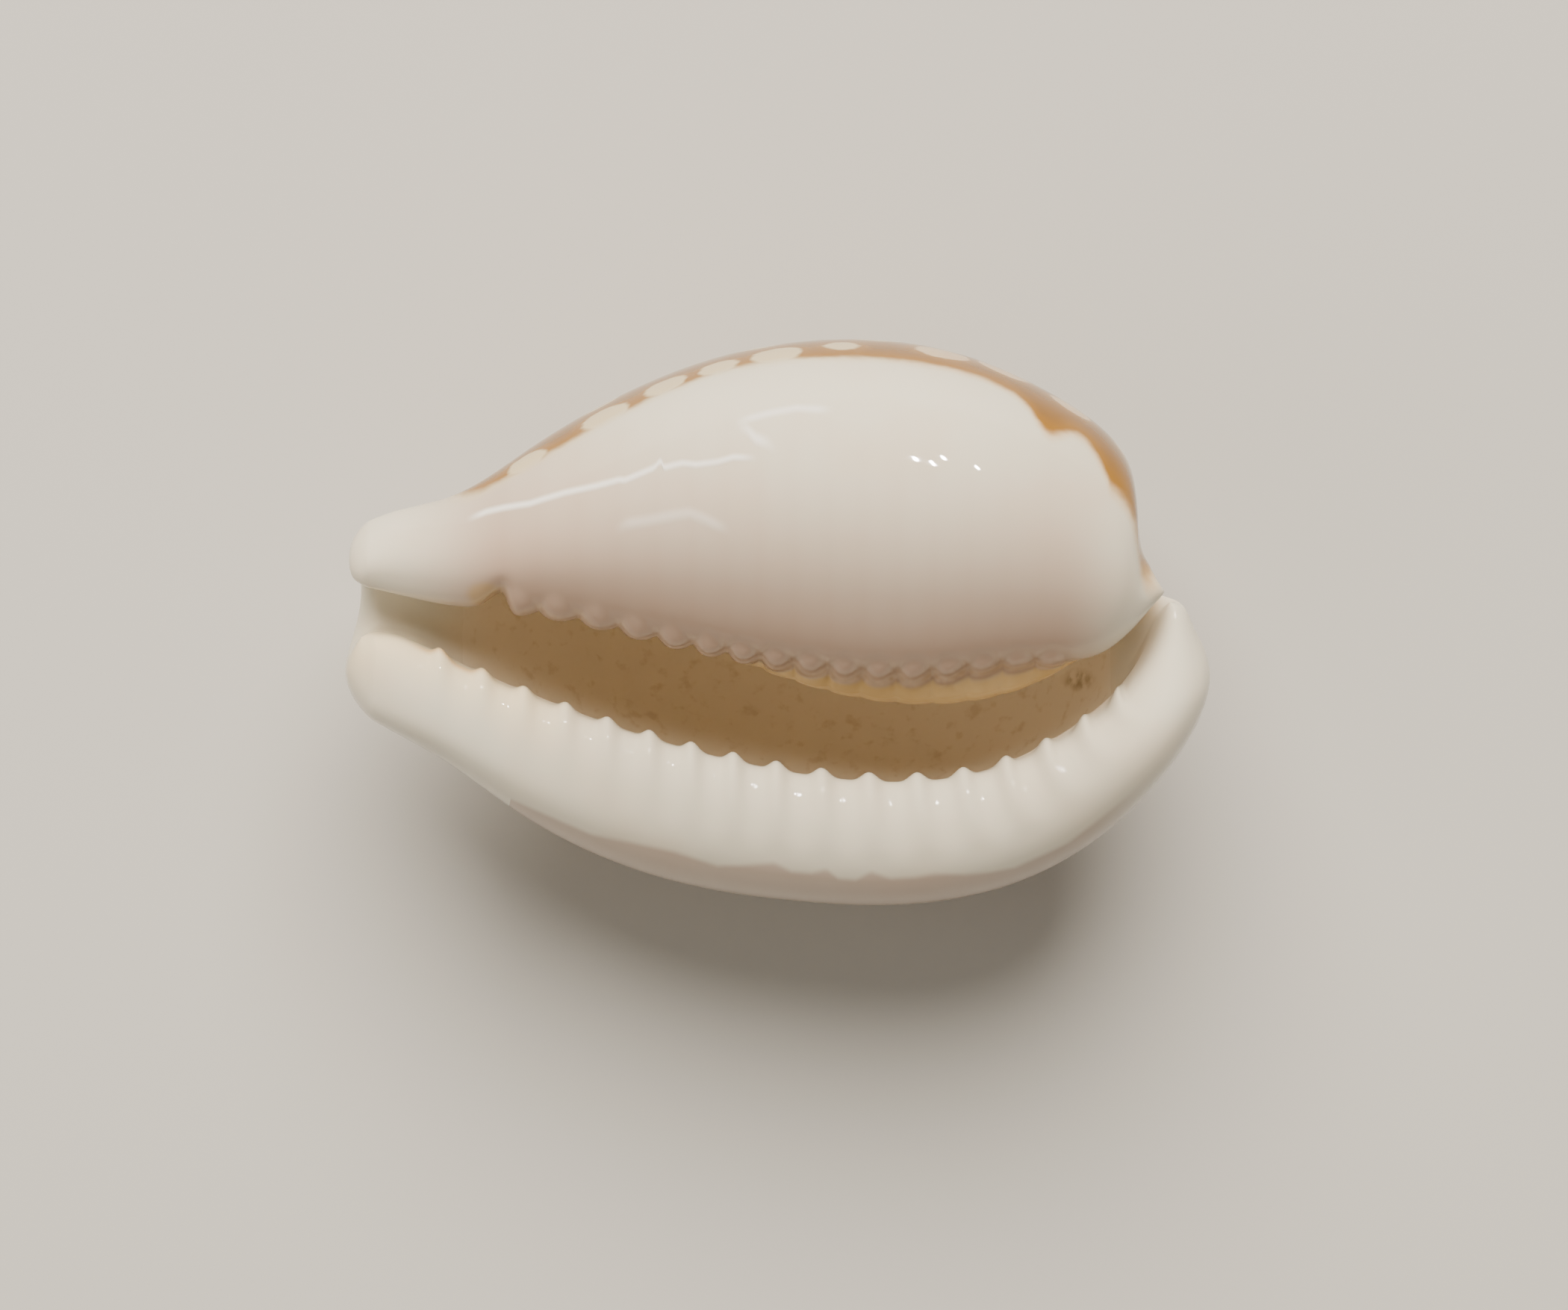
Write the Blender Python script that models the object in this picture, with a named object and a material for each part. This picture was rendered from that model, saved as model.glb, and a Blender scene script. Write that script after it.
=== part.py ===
"""A sieve cowrie shell, 28 mm long, lying on its back with the toothed base facing up.

The shell is one curled sheet: it starts at the columella lip, goes round the outer side, the domed
back and the labral side, and ends at the toothed outer lip, so its section is a C that is open at
the aperture. Guide lines run from the front (siphon) end to the back (spire) end. A section is
lofted between them at each step, and the teeth grow out of the two lips.

Shell frame, in millimetres: X from the front end to the back end, Y from the labral side to the
columella side, Z out of the base. The finished shell is turned to the way it lies and is in metres.
"""

import math

import bmesh
import bpy
import numpy as np
from mathutils import Matrix

MM = 0.001
SHELL_LENGTH = 28.0
DRAWN_LENGTH = 28.0

# The way the shell lies: first rolled about its length, then tipped end to end, in degrees.
REST_ROLL = 22.0
REST_TIP = -6.0
FLAT_SPOT_DEPTH = 0.4

# Distance along the aperture of each drawn section, from the front tip to the back tip.
STATIONS = (0.0, 1.3, 3.0, 5.6, 9.6, 14.1, 18.6, 22.1, 24.4, 25.9, 27.4)

# Outer guide lines, one (x, y, z) for each station.
COLUMELLA_LIP = (
    (-13.25, 0.25, -2.1), (-12.45, 0.1, -1.9), (-10.7, -0.25, -1.7), (-8.2, -0.3, -1.5),
    (-4.3, -1.0, -1.2), (0.0, -1.95, -1.1), (4.7, -2.4, -1.1), (8.4, -2.15, -1.4),
    (10.6, -2.0, -1.8), (11.8, -1.0, -1.9), (12.6, -0.1, -1.8),
)
COLUMELLA_SIDE = (
    (-13.3, 1.8, -3.3), (-12.35, 2.3, -3.2), (-10.6, 2.7, -3.2), (-8.2, 3.8, -3.6),
    (-4.3, 5.6, -4.2), (0.0, 6.8, -4.6), (4.7, 6.8, -4.6), (8.8, 5.5, -4.3),
    (11.5, 3.4, -3.9), (11.8, 1.9, -3.2), (11.9, 0.85, -2.35),
)
BACK_RIDGE = (
    (-13.15, -1.1, -4.6), (-12.2, -0.9, -5.0), (-10.6, -0.8, -6.1), (-8.2, -0.9, -8.9),
    (-4.2, -1.4, -12.6), (0.2, -1.7, -13.9), (4.8, -1.8, -13.9), (8.8, -1.7, -12.0),
    (11.6, -1.5, -9.1), (11.95, -1.6, -6.2), (11.7, -1.2, -4.4),
)
LABRAL_SIDE = (
    (-13.3, -4.5, -3.2), (-12.3, -5.1, -3.1), (-10.9, -6.0, -3.0), (-8.4, -7.95, -2.9),
    (-4.2, -10.1, -2.7), (0.5, -11.0, -2.6), (6.0, -10.9, -2.6), (10.7, -8.7, -2.7),
    (13.5, -5.45, -2.8), (14.1, -3.1, -2.9), (13.3, -1.3, -3.4),
)
LABRAL_LIP = (
    (-13.1, -1.45, -1.9), (-12.2, -1.5, -1.75), (-10.6, -2.15, -1.4), (-8.0, -3.3, -1.1),
    (-4.0, -4.7, -0.9), (0.5, -5.8, -0.8), (5.0, -6.1, -0.8), (8.5, -5.2, -1.0),
    (10.8, -3.8, -1.5), (12.0, -2.7, -2.3), (12.85, -0.75, -2.9),
)
# How high each half of the base stands between its lip and its side.
COLUMELLA_CREST = (-1.6, -1.4, -1.0, -0.4, 0.2, 0.5, 0.5, 0.1, -0.6, -1.2, -1.5)
LABRAL_CREST = (-0.95, -0.4, -0.05, 0.3, 0.6, 0.8, 0.8, 0.6, 0.0, -1.1, -2.6)
# Where each crest lies on the way from the lip to the side.
COLUMELLA_CREST_SHARE = (0.45,) * len(STATIONS)
LABRAL_CREST_SHARE = (0.6, 0.58, 0.54, 0.5, 0.46, 0.44, 0.44, 0.42, 0.42, 0.46, 0.5)

# Inner guide lines of the hollow.
LEDGE = (
    (-13.2, 0.4, -2.8), (-12.4, 0.2, -2.7), (-10.7, -0.1, -2.6), (-8.2, -0.2, -2.6),
    (-4.3, -0.9, -2.4), (0.0, -2.9, -2.0), (4.7, -4.0, -2.0), (8.4, -3.3, -2.1),
    (10.5, -2.1, -2.6), (11.7, -1.0, -2.6), (12.4, -0.2, -2.3),
)
HOLLOW_COLUMELLA = (
    (-13.2, 0.4, -3.3), (-12.3, 0.6, -3.4), (-10.6, 1.0, -3.6), (-8.2, 2.1, -4.2),
    (-4.3, 3.9, -5.0), (0.0, 5.0, -5.4), (4.7, 4.9, -5.4), (8.6, 3.5, -5.0),
    (10.4, 1.2, -4.4), (11.5, -0.7, -3.4), (12.0, -0.2, -2.9),
)
HOLLOW_BACK = (
    (-13.1, -0.9, -3.7), (-12.2, -0.9, -4.0), (-10.6, -0.9, -4.8), (-8.2, -1.0, -7.4),
    (-4.2, -1.4, -11.1), (0.2, -1.7, -12.4), (4.8, -1.8, -12.4), (8.4, -1.7, -10.2),
    (10.5, -1.7, -7.0), (11.6, -1.7, -4.3), (12.0, -0.7, -3.7),
)
HOLLOW_LABRAL = (
    (-12.8, -1.9, -3.3), (-12.1, -2.0, -3.4), (-10.8, -3.0, -3.6), (-8.3, -5.4, -4.2),
    (-4.1, -7.9, -5.0), (0.5, -9.1, -5.4), (5.4, -9.0, -5.4), (9.4, -6.9, -5.0),
    (11.2, -4.3, -4.2), (12.0, -2.6, -3.7), (12.6, -0.9, -3.5),
)
LIP_UNDERSIDE = (
    (-12.8, -1.9, -2.6), (-12.1, -1.9, -2.5), (-10.6, -2.5, -2.4), (-8.0, -3.6, -2.1),
    (-4.0, -5.2, -1.9), (0.5, -6.5, -1.8), (5.0, -6.8, -1.8), (8.5, -5.6, -2.1),
    (10.9, -4.0, -2.6), (12.0, -2.6, -3.0), (12.75, -0.75, -3.2),
)

# Teeth of the labral lip: where along the aperture a tooth falls. Tooth 0 is at the front end.
LABRAL_TOOTH_PLACES = (2.7, 9.5, 15.1, 21.1, 24.75)
LABRAL_TOOTH_NUMBERS = (0.0, 5.0, 9.0, 13.0, 16.0)
LABRAL_TOOTH_HEIGHT = 0.38
LABRAL_RIDGE_FADE = 0.9
# Teeth of the columella lip, which are closer together, lower and shorter.
COLUMELLA_TOOTH_PLACES = (5.5, 11.9, 17.4, 22.7)
COLUMELLA_TOOTH_NUMBERS = (0.0, 5.0, 10.0, 15.0)
COLUMELLA_TOOTH_HEIGHT = 0.36
COLUMELLA_RIDGE_FADE = 2.5
# Over 1 gives narrow crests between wide valleys, under 1 the reverse.
LABRAL_SHARPNESS, COLUMELLA_SHARPNESS = 1.8, 0.8
# Past the first and the last tooth the wave fades out over this share of a tooth.
TOOTH_FADE = 0.5
# The pit in front of the first columella tooth.
PIT_PLACE = 4.85
PIT_HALF_WIDTHS = (0.6, 0.3)
PIT_BACK, PIT_DEPTH = 0.6, 0.4

STEPS_PER_TOOTH = 4
FRONT_STEPS = 6
BACK_STEPS = 6
# The ends of the sheet are rounded: the way each end faces and the most it can reach out.
RIM_ANGLES = (25.0, 50.0, 72.0, 88.0)
FRONT_WAY, FRONT_REACH = (-1.0, 0.0, 0.0), 1.1
BACK_WAY, BACK_REACH = (0.74, 0.53, -0.42), 0.3

# Steps of the section between guide lines: lip to crest, crest to side, side to back ridge.
LIP_STEPS = 4
SIDE_STEPS = 3
BACK_RIDGE_STEPS = 7

# Points closer than this, in metres, count as one when the flat spot is cut.
SAME_POINT = 1e-7
SHELL_WHITE = (0.86, 0.82, 0.74, 1.0)
SHELL_ROUGHNESS = 0.15


def natural_spline(places, values):
    """A function of place that passes smoothly through the values, each a number or a point."""
    places = np.asarray(places, float)
    values = np.asarray(values, float).reshape(len(places), -1)
    gaps = np.diff(places)
    slopes = np.diff(values, axis=0) / gaps[:, None]
    system = np.eye(len(places))
    right = np.zeros_like(values)
    for i in range(1, len(places) - 1):
        system[i, i - 1:i + 2] = gaps[i - 1], 2 * (gaps[i - 1] + gaps[i]), gaps[i]
        right[i] = 6 * (slopes[i] - slopes[i - 1])
    bends = np.linalg.solve(system, right)

    def at(place):
        i = int(np.clip(np.searchsorted(places, place) - 1, 0, len(gaps) - 1))
        gap, a, b = gaps[i], places[i + 1] - place, place - places[i]
        before = values[i] / gap - bends[i] * gap / 6
        after = values[i + 1] / gap - bends[i + 1] * gap / 6
        return before * a + after * b + (bends[i] * a ** 3 + bends[i + 1] * b ** 3) / (6 * gap)

    return at


GUIDES = {
    "columella_lip": natural_spline(STATIONS, COLUMELLA_LIP),
    "columella_side": natural_spline(STATIONS, COLUMELLA_SIDE),
    "back_ridge": natural_spline(STATIONS, BACK_RIDGE),
    "labral_side": natural_spline(STATIONS, LABRAL_SIDE),
    "labral_lip": natural_spline(STATIONS, LABRAL_LIP),
    "columella_crest": natural_spline(STATIONS, COLUMELLA_CREST),
    "labral_crest": natural_spline(STATIONS, LABRAL_CREST),
    "columella_crest_share": natural_spline(STATIONS, COLUMELLA_CREST_SHARE),
    "labral_crest_share": natural_spline(STATIONS, LABRAL_CREST_SHARE),
    "ledge": natural_spline(STATIONS, LEDGE),
    "hollow_columella": natural_spline(STATIONS, HOLLOW_COLUMELLA),
    "hollow_back": natural_spline(STATIONS, HOLLOW_BACK),
    "hollow_labral": natural_spline(STATIONS, HOLLOW_LABRAL),
    "lip_underside": natural_spline(STATIONS, LIP_UNDERSIDE),
}
labral_tooth_number = natural_spline(LABRAL_TOOTH_PLACES, LABRAL_TOOTH_NUMBERS)
labral_tooth_place = natural_spline(LABRAL_TOOTH_NUMBERS, LABRAL_TOOTH_PLACES)
columella_tooth_number = natural_spline(COLUMELLA_TOOTH_PLACES, COLUMELLA_TOOTH_NUMBERS)


def quarter_arc(start, end, steps, flat_at_start, in_plane=False):
    """Points of a quarter ellipse from start to end, without the end point.

    It leaves start level and reaches end upright, or the other way round. An arc that isn't
    in_plane moves along the shell gently at both ends, so that it joins the next one smoothly."""
    level, upright = (start, end) if flat_at_start else (end, start)
    middle = np.array([level[0], level[1], upright[2]])
    points = []
    for k in range(steps):
        turn = math.pi / 2 * k / steps
        point = middle + (start - middle) * math.cos(turn) + (end - middle) * math.sin(turn)
        if not in_plane:
            point[0] = start[0] + (end[0] - start[0]) * math.sin(turn) ** 2
        points.append(point)
    return points


def crest_between(guide, half):
    """The highest point of one half of the base, between its lip and its side."""
    lip, side = guide[half + "_lip"], guide[half + "_side"]
    point = lip + (side - lip) * guide[half + "_crest_share"][0]
    point[2] = guide[half + "_crest"][0]
    return point


def tooth_height(number, last, sharpness):
    """1 on a tooth's crest, 0 in the valley, fading out past the first and the last tooth."""
    past_end = max(0.0, -number, number - last)
    fade = max(0.0, 1 - past_end / TOOTH_FADE)
    return fade * ((1 + math.cos(2 * math.pi * number)) / 2) ** sharpness


def section(place):
    """The outer and the inner line of the C section at a distance along the aperture."""
    guide = {name: line(place) for name, line in GUIDES.items()}
    columella_crest = crest_between(guide, "columella")
    labral_crest = crest_between(guide, "labral")

    outer = quarter_arc(guide["columella_lip"], columella_crest, LIP_STEPS, False, in_plane=True)
    outer += quarter_arc(columella_crest, guide["columella_side"], SIDE_STEPS, True, in_plane=True)
    outer += quarter_arc(guide["columella_side"], guide["back_ridge"], BACK_RIDGE_STEPS, False)
    outer += quarter_arc(guide["back_ridge"], guide["labral_side"], BACK_RIDGE_STEPS, True)
    outer += quarter_arc(guide["labral_side"], labral_crest, SIDE_STEPS, False, in_plane=True)
    outer += quarter_arc(labral_crest, guide["labral_lip"], LIP_STEPS, True, in_plane=True)
    outer.append(guide["labral_lip"])

    inner = quarter_arc(guide["ledge"], guide["hollow_columella"], LIP_STEPS + SIDE_STEPS, True)
    inner += quarter_arc(guide["hollow_columella"], guide["hollow_back"], BACK_RIDGE_STEPS, False)
    inner += quarter_arc(guide["hollow_back"], guide["hollow_labral"], BACK_RIDGE_STEPS, True)
    inner += quarter_arc(guide["hollow_labral"], guide["lip_underside"], LIP_STEPS + SIDE_STEPS, False)
    inner.append(guide["lip_underside"])

    labral = LABRAL_TOOTH_HEIGHT * tooth_height(
        float(labral_tooth_number(place)[0]), LABRAL_TOOTH_NUMBERS[-1], LABRAL_SHARPNESS)
    columella = COLUMELLA_TOOTH_HEIGHT * tooth_height(
        float(columella_tooth_number(place)[0]), COLUMELLA_TOOTH_NUMBERS[-1], COLUMELLA_SHARPNESS)
    offset = place - PIT_PLACE
    pit = math.exp(-(offset / PIT_HALF_WIDTHS[0 if offset < 0 else 1]) ** 2)
    for k in range(LIP_STEPS + 1):
        turn = math.pi / 2 * k / LIP_STEPS
        into_gap, up = math.cos(turn), math.sin(turn)
        near_lip = 1 - k / LIP_STEPS
        ridge = columella * near_lip ** COLUMELLA_RIDGE_FADE
        sunk = pit * near_lip
        outer[k] = outer[k] + np.array([0, PIT_BACK * sunk - into_gap * ridge, up * ridge - PIT_DEPTH * sunk])
        ridge = labral * near_lip ** LABRAL_RIDGE_FADE
        outer[-1 - k] = outer[-1 - k] + np.array([0, into_gap * ridge, up * ridge])
    return np.array(outer), np.array(inner)


def rim(outer, inner, way, limit, angle):
    """The section's two lines drawn towards each other, which rounds off the end of the sheet."""
    middle = (outer + inner) / 2
    half = (outer - inner) / 2
    reach = np.minimum(np.linalg.norm(half, axis=1), limit)[:, None]
    moved = middle + np.array(way) * reach * math.sin(math.radians(angle))
    return moved + half * math.cos(math.radians(angle)), moved - half * math.cos(math.radians(angle))


def all_sections():
    first, last = LABRAL_TOOTH_PLACES[0], LABRAL_TOOTH_PLACES[-1]
    front = np.linspace(STATIONS[0], first, FRONT_STEPS, endpoint=False)
    last_number = LABRAL_TOOTH_NUMBERS[-1]
    numbers = np.linspace(0, last_number, int(last_number * STEPS_PER_TOOTH) + 1)
    toothed = [float(labral_tooth_place(number)[0]) for number in numbers]
    back = np.linspace(last, STATIONS[-1], BACK_STEPS + 1)[1:]
    places = [*front, *toothed, *back]
    sections = [section(place) for place in places]
    opening = [rim(*sections[0], FRONT_WAY, FRONT_REACH, angle) for angle in reversed(RIM_ANGLES)]
    closing = [rim(*sections[-1], BACK_WAY, BACK_REACH, angle) for angle in RIM_ANGLES]
    return opening + sections + closing


def skin_sections(sections):
    """A closed mesh: quads round and along the sections, and a strip across each end."""
    mesh = bmesh.new()
    rings = []
    for outer, inner in sections:
        points = np.vstack([outer, inner[::-1]])
        rings.append([mesh.verts.new(point) for point in points])
    count = len(rings[0])
    half = count // 2
    for ring, following in zip(rings, rings[1:]):
        for k in range(count):
            after = (k + 1) % count
            mesh.faces.new((ring[k], following[k], following[after], ring[after]))
    for ring in (rings[0], rings[-1]):
        for k in range(half - 1):
            mesh.faces.new((ring[k], ring[k + 1], ring[count - 2 - k], ring[count - 1 - k]))
    bmesh.ops.recalc_face_normals(mesh, faces=mesh.faces)
    return mesh


def lay_down(mesh):
    """Scales and turns the shell to the way it lies, with the ground at Z 0 under its middle."""
    scale = Matrix.Scale(MM * SHELL_LENGTH / DRAWN_LENGTH, 4)
    roll = Matrix.Rotation(math.radians(REST_ROLL), 4, "X")
    tip = Matrix.Rotation(math.radians(REST_TIP), 4, "Y")
    mesh.transform(tip @ roll @ scale)
    low = min(vertex.co.z for vertex in mesh.verts) + FLAT_SPOT_DEPTH * MM
    geometry = mesh.verts[:] + mesh.edges[:] + mesh.faces[:]
    cut = bmesh.ops.bisect_plane(
        mesh, geom=geometry, dist=SAME_POINT, plane_co=(0, 0, low), plane_no=(0, 0, 1), clear_inner=True)
    loop = [item for item in cut["geom_cut"] if isinstance(item, bmesh.types.BMEdge)]
    bmesh.ops.contextual_create(mesh, geom=loop)
    corners = np.array([vertex.co for vertex in mesh.verts])
    middle = (corners.min(0) + corners.max(0)) / 2
    mesh.transform(Matrix.Translation((-middle[0], -middle[1], -low)))
    bmesh.ops.recalc_face_normals(mesh, faces=mesh.faces)


def glazed_shell():
    material = bpy.data.materials.new("glazed_shell")
    material.use_nodes = True
    shader = material.node_tree.nodes["Principled BSDF"]
    shader.inputs["Base Color"].default_value = SHELL_WHITE
    shader.inputs["Roughness"].default_value = SHELL_ROUGHNESS
    return material


def main():
    for thing in list(bpy.data.objects):
        bpy.data.objects.remove(thing)
    collection = bpy.data.collections.new("cowrie")
    bpy.context.scene.collection.children.link(collection)
    mesh = skin_sections(all_sections())
    lay_down(mesh)
    data = bpy.data.meshes.new("shell")
    mesh.to_mesh(data)
    mesh.free()
    data.materials.append(glazed_shell())
    data.shade_smooth()
    shell = bpy.data.objects.new("shell", data)
    collection.objects.link(shell)


main()
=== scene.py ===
import math
import bpy
import numpy as np
from mathutils import Matrix, Vector


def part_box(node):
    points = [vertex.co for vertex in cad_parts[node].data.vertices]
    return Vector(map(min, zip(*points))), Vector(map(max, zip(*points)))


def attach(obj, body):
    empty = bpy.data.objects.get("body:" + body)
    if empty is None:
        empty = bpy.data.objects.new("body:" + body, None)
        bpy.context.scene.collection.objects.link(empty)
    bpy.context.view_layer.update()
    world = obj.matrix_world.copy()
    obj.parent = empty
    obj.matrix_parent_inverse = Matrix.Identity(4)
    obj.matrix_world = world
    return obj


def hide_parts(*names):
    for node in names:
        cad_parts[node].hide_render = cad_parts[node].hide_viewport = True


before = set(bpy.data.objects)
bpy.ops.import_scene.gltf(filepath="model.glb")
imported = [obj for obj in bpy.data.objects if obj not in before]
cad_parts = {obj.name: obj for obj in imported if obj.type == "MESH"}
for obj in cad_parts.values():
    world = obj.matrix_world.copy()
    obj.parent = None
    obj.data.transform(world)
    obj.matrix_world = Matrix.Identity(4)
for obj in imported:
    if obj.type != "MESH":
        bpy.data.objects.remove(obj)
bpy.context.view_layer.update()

mm = 0.001
farAway = 9.0                      # a distance in mm that stands for nowhere near
viewTilt = math.radians(25.0)      # the photo looks at the base from this far to the columella side

# Shell frame in mm: X front (siphon) end to back (spire) end, Y labral side to columella side, Z out of the base.
# Each guide line has one point for each station, and a station is a distance along the aperture.
shellForm = {
    "stations": (0.0, 1.3, 3.0, 5.6, 9.6, 14.1, 18.6, 22.1, 24.4, 25.9, 27.4),
    "columellaLip": ((-13.5, 0.25, -2.1), (-12.6, 0.1, -1.9), (-10.7, -0.25, -1.7), (-8.2, -0.3, -1.5),
                     (-4.3, -1.0, -1.2), (0.0, -1.95, -1.1), (4.7, -2.4, -1.1), (8.4, -2.15, -1.4),
                     (10.6, -2.0, -1.8), (11.8, -1.0, -1.9), (12.75, 0.0, -1.85)),
    "columellaSide": ((-13.6, 1.8, -3.3), (-12.4, 2.3, -3.2), (-10.6, 2.7, -3.2), (-8.2, 3.8, -3.6),
                      (-4.3, 5.6, -4.2), (0.0, 6.8, -4.6), (4.7, 6.8, -4.6), (8.8, 5.5, -4.3),
                      (11.5, 3.4, -3.9), (11.8, 1.9, -3.2), (12.0, 0.9, -2.4)),
    "backRidge": ((-13.3, -1.1, -4.6), (-12.2, -0.9, -5.0), (-10.6, -0.8, -6.1), (-8.2, -0.9, -8.9),
                  (-4.2, -1.4, -12.6), (0.2, -1.7, -13.9), (4.8, -1.8, -13.9), (8.8, -1.7, -12.0),
                  (11.6, -1.5, -9.1), (12.0, -1.6, -6.2), (11.8, -1.2, -4.4)),
    "labralSide": ((-13.6, -4.5, -3.2), (-12.4, -5.1, -3.1), (-10.9, -6.0, -3.0), (-8.4, -7.95, -2.9),
                   (-4.2, -10.1, -2.7), (0.5, -11.0, -2.6), (6.0, -10.9, -2.6), (10.7, -8.7, -2.7),
                   (13.5, -5.45, -2.8), (14.25, -3.1, -2.9), (13.55, -1.3, -3.4)),
    "labralLip": ((-13.3, -1.45, -1.9), (-12.3, -1.5, -1.75), (-10.6, -2.15, -1.4), (-8.0, -3.3, -1.1),
                  (-4.0, -4.7, -0.9), (0.5, -5.8, -0.8), (5.0, -6.1, -0.8), (8.5, -5.2, -1.0),
                  (10.8, -3.8, -1.5), (12.0, -2.7, -2.3), (12.85, -0.75, -2.9)),
    "columellaCrest": (-1.6, -1.4, -1.0, -0.4, 0.2, 0.5, 0.5, 0.1, -0.6, -1.2, -1.5),
    "labralCrest": (-0.95, -0.4, -0.05, 0.3, 0.6, 0.8, 0.8, 0.6, 0.0, -1.1, -2.6),
    # where each half of the base is highest, from lip to side
    "labralCrestShare": (0.6, 0.58, 0.54, 0.5, 0.46, 0.44, 0.44, 0.42, 0.42, 0.46, 0.5),
    "columellaCrestShare": (0.45,) * 11,
    "ledge": ((-13.5, 0.3, -2.8), (-12.6, 0.1, -2.7), (-10.7, -0.1, -2.6), (-8.2, -0.2, -2.6),
              (-4.3, -0.9, -2.4), (0.0, -3.1, -2.0), (4.7, -4.35, -2.0), (8.4, -3.6, -2.1),
              (10.5, -2.1, -2.6), (11.7, -1.0, -2.6), (12.4, -0.2, -2.3)),
    "hollowColumella": ((-13.5, 0.4, -3.3), (-12.3, 0.6, -3.4), (-10.6, 1.0, -3.6), (-8.2, 2.1, -4.2),
                        (-4.3, 3.9, -5.0), (0.0, 5.0, -5.4), (4.7, 4.9, -5.4), (8.6, 3.5, -5.0),
                        (10.4, 1.2, -4.4), (11.5, -0.7, -3.4), (12.0, -0.2, -2.9)),
    "hollowBack": ((-13.3, -0.9, -3.7), (-12.2, -0.9, -4.0), (-10.6, -0.9, -4.8), (-8.2, -1.0, -7.4),
                   (-4.2, -1.4, -11.1), (0.2, -1.7, -12.4), (4.8, -1.8, -12.4), (8.4, -1.7, -10.2),
                   (10.5, -1.7, -7.0), (11.6, -1.7, -4.3), (12.0, -0.7, -3.7)),
    "hollowLabral": ((-13.3, -1.8, -3.3), (-12.1, -2.0, -3.4), (-10.8, -3.0, -3.6), (-8.3, -5.4, -4.2),
                     (-4.1, -7.9, -5.0), (0.5, -9.1, -5.4), (5.4, -9.0, -5.4), (9.4, -6.9, -5.0),
                     (11.2, -4.3, -4.2), (12.0, -2.6, -3.7), (12.6, -0.9, -3.5)),
    "lipUnderside": ((-13.3, -1.6, -2.6), (-12.3, -1.7, -2.5), (-10.6, -2.5, -2.4), (-8.0, -3.6, -2.1),
                     (-4.0, -5.2, -1.9), (0.5, -6.5, -1.8), (5.0, -6.8, -1.8), (8.5, -5.6, -2.1),
                     (10.9, -4.0, -2.6), (12.0, -2.6, -3.0), (12.75, -0.75, -3.2)),
    # the canal rims: which way each end is pushed out and how far, and the turns in degrees that round it
    "frontWay": (-1.0, 0.0, 0.0), "frontReach": 1.4,
    "backWay": (0.74, 0.53, -0.42), "backReach": 0.5,
    "rimTurns": (10, 20, 30, 40, 50, 60, 70, 79, 87),
    "rowsPerTooth": 15, "frontRows": 44, "backRows": 44,
    "lipSteps": 17, "sideSteps": 14, "backSteps": 29, "edgeSteps": 6,
    # smoothing along each ring, against kinks at the guide lines: rounds, and a step out and a step back
    "guideSoftening": 14, "guideSteps": (0.5, -0.53),
    "edgeSoftening": 5, "edgeReach": 5,             # rounds over the two lip edges, and points on each side of them
    "endRows": (16, 42), "endSoftening": 160, "endStep": 0.8,    # rows at each end that are rounded off together
    "restRoll": 22.0, "restTip": -6.0,              # how it lies, in degrees
    "flatSpotDepth": 0.4,
}

# Lengths in mm. A pair of tooth numbers says between which teeth something sets in, and a row's end says how far
# past its first and last tooth it is gone and whole, in teeth.
teeth = {
    "labralPlaces": (2.7, 9.5, 15.1, 21.1, 24.75), "labralNumbers": (0.0, 5.0, 9.0, 13.0, 16.0),
    "labralHeight": 0.40, "labralSharpness": (2.2, 1.0),       # at the lip and at the ridge's end
    "labralFade": 1.05, "labralRowEnd": (0.55, 0.0),
    "frontFading": 1.2, "frontFadingTeeth": (8.0, 0.5),        # how much sooner the ridges end towards the front
    "backFading": 1.0, "backFadingTeeth": 3,                   # and over the last few teeth at the back
    "backBoost": 0.3, "backCut": 0.14, "tallTeeth": 5,         # the last ones stand taller over deeper notches
    "columellaPlaces": (5.5, 11.9, 17.4, 22.7), "columellaNumbers": (0.0, 5.0, 10.0, 15.0),
    "columellaHeight": 0.36, "columellaLean": 0.76, "columellaRound": 0.75, "columellaRowEnd": (0.55, 0.3),
    "columellaLengths": (1.7, 1.3), "lengthTeeth": (1.0, 6.0),     # at the front end, and from the middle on
    "columellaFront": 0.65, "lowFrontTeeth": (-1.0, 5.0),          # the share of the height at the front end
    "columellaBack": 0.5, "lowBackTeeth": 5,                       # and what is lost of it at the back end
    # the thin groove round each pad in the middle of the shell, and how far from the lip it sets in
    "grooveDepth": 0.06, "grooveWidth": 0.12, "grooveRing": 1.03, "grooveFrom": (0.2, 0.7), "grooveTeeth": (3.0, 7.0),
    "pitPlace": 4.85, "pitHalfWidths": (0.6, 0.28), "pitBack": 0.6, "pitDepth": 0.4,
}


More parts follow.
